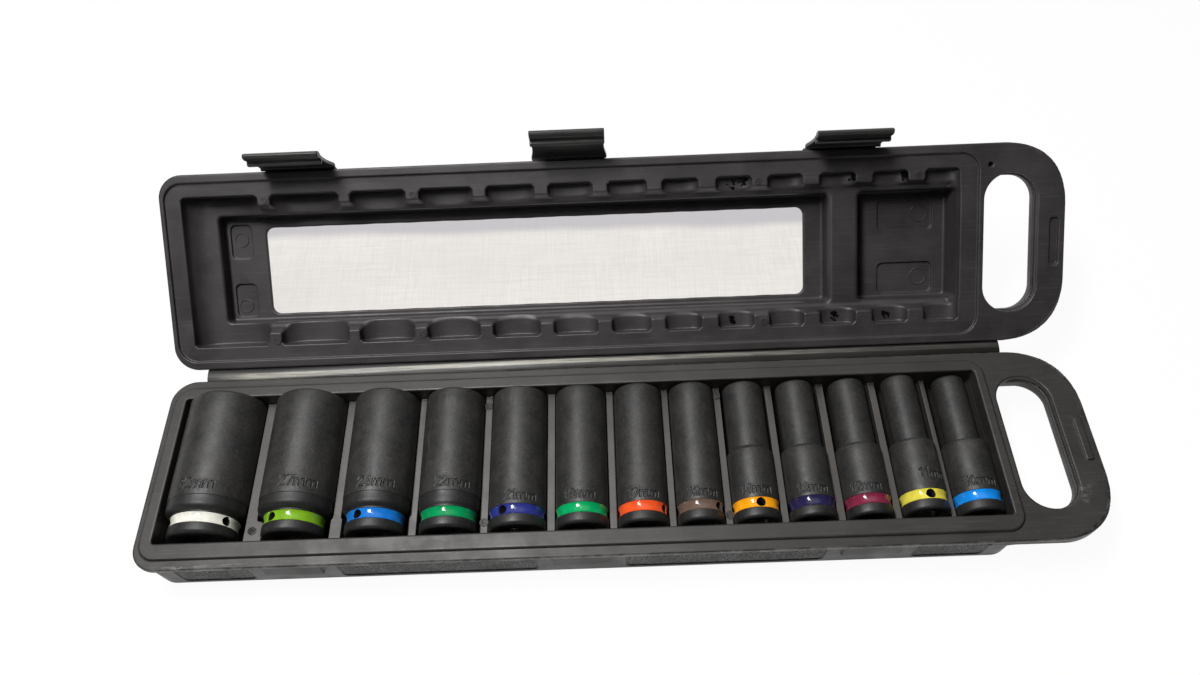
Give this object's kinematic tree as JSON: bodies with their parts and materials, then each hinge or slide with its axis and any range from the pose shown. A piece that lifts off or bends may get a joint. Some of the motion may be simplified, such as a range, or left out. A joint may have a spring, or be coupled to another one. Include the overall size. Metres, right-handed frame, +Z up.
{
  "type": "hinged socket organizer case",
  "caption": "Long hinged moulded carry case, open, with side handle, snap latches, windowed lid and deep impact sockets of graded size lying in fitted troughs.",
  "frame": {"origin": "middle of the flat face the lower half stands on, at the middle of its length between the end walls", "axes": "+X along the case toward the handle, +Y toward the hinge and the open lid, +Z up"},
  "size_m": [0.49, 0.2071, 0.1286],
  "materials": {
    "case": "satin moulded polyethylene",
    "hinge": "stretched, glossy streaks",
    "latch": "satin",
    "socket_steel": "black phosphate, satin",
    "band_32": "gloss white",
    "band_27": "gloss lime",
    "band_24": "gloss blue",
    "band_22": "gloss green",
    "band_21": "gloss navy",
    "band_19": "gloss green",
    "band_17": "gloss orange red",
    "band_16": "gloss brown",
    "band_14": "gloss amber",
    "band_13": "gloss dark navy",
    "band_12": "gloss burgundy",
    "band_11": "gloss yellow",
    "band_10": "gloss light blue"
  },
  "bodies": {
    "base": {"base_tray": "case", "living_hinge": "hinge"},
    "lid": {"lid_shell": "case"},
    "left_latch": {"latch_left": "latch"},
    "centre_latch": {"latch_centre": "latch"},
    "right_latch": {"latch_right": "latch"},
    "socket_32": {"socket_32": "socket_steel", "colour_band_32": "band_32"},
    "socket_27": {"socket_27": "socket_steel", "colour_band_27": "band_27"},
    "socket_24": {"socket_24": "socket_steel", "colour_band_24": "band_24"},
    "socket_22": {"socket_22": "socket_steel", "colour_band_22": "band_22"},
    "socket_21": {"socket_21": "socket_steel", "colour_band_21": "band_21"},
    "socket_19": {"socket_19": "socket_steel", "colour_band_19": "band_19"},
    "socket_17": {"socket_17": "socket_steel", "colour_band_17": "band_17"},
    "socket_16": {"socket_16": "socket_steel", "colour_band_16": "band_16"},
    "socket_14": {"socket_14": "socket_steel", "colour_band_14": "band_14"},
    "socket_13": {"socket_13": "socket_steel", "colour_band_13": "band_13"},
    "socket_12": {"socket_12": "socket_steel", "colour_band_12": "band_12"},
    "socket_11": {"socket_11": "socket_steel", "colour_band_11": "band_11"},
    "socket_10": {"socket_10": "socket_steel", "colour_band_10": "band_10"}
  },
  "joints": [
    {"name": "lid_hinge", "type": "hinge", "parent": "base", "child": "lid", "pos_m": [0, 0.05685, 0.031], "axis": [-1, 0, 0], "range_deg": [-139.3, 40.7], "deforming": ["living_hinge"]},
    {"name": "left_latch_hinge", "type": "hinge", "parent": "lid", "child": "left_latch", "pos_m": [-0.1445, 0.14264, 0.10209], "axis": [-1, 0, 0], "range_deg": [-8, 87]},
    {"name": "centre_latch_hinge", "type": "hinge", "parent": "lid", "child": "centre_latch", "pos_m": [0.0005, 0.14264, 0.10209], "axis": [-1, 0, 0], "range_deg": [-22, 73]},
    {"name": "right_latch_hinge", "type": "hinge", "parent": "lid", "child": "right_latch", "pos_m": [0.1455, 0.14264, 0.10209], "axis": [-1, 0, 0], "range_deg": [-8, 87]},
    {"name": "socket_32_lift", "type": "slide", "parent": "base", "child": "socket_32", "axis": [0, 0, 1], "range_m": [0, 0.05]},
    {"name": "socket_27_lift", "type": "slide", "parent": "base", "child": "socket_27", "axis": [0, 0, 1], "range_m": [0, 0.05]},
    {"name": "socket_24_lift", "type": "slide", "parent": "base", "child": "socket_24", "axis": [0, 0, 1], "range_m": [0, 0.05]},
    {"name": "socket_22_lift", "type": "slide", "parent": "base", "child": "socket_22", "axis": [0, 0, 1], "range_m": [0, 0.05]},
    {"name": "socket_21_lift", "type": "slide", "parent": "base", "child": "socket_21", "axis": [0, 0, 1], "range_m": [0, 0.05]},
    {"name": "socket_19_lift", "type": "slide", "parent": "base", "child": "socket_19", "axis": [0, 0, 1], "range_m": [0, 0.05]},
    {"name": "socket_17_lift", "type": "slide", "parent": "base", "child": "socket_17", "axis": [0, 0, 1], "range_m": [0, 0.05]},
    {"name": "socket_16_lift", "type": "slide", "parent": "base", "child": "socket_16", "axis": [0, 0, 1], "range_m": [0, 0.05]},
    {"name": "socket_14_lift", "type": "slide", "parent": "base", "child": "socket_14", "axis": [0, 0, 1], "range_m": [0, 0.05]},
    {"name": "socket_13_lift", "type": "slide", "parent": "base", "child": "socket_13", "axis": [0, 0, 1], "range_m": [0, 0.05]},
    {"name": "socket_12_lift", "type": "slide", "parent": "base", "child": "socket_12", "axis": [0, 0, 1], "range_m": [0, 0.05]},
    {"name": "socket_11_lift", "type": "slide", "parent": "base", "child": "socket_11", "axis": [0, 0, 1], "range_m": [0, 0.05]},
    {"name": "socket_10_lift", "type": "slide", "parent": "base", "child": "socket_10", "axis": [0, 0, 1], "range_m": [0, 0.05]}
  ]
}
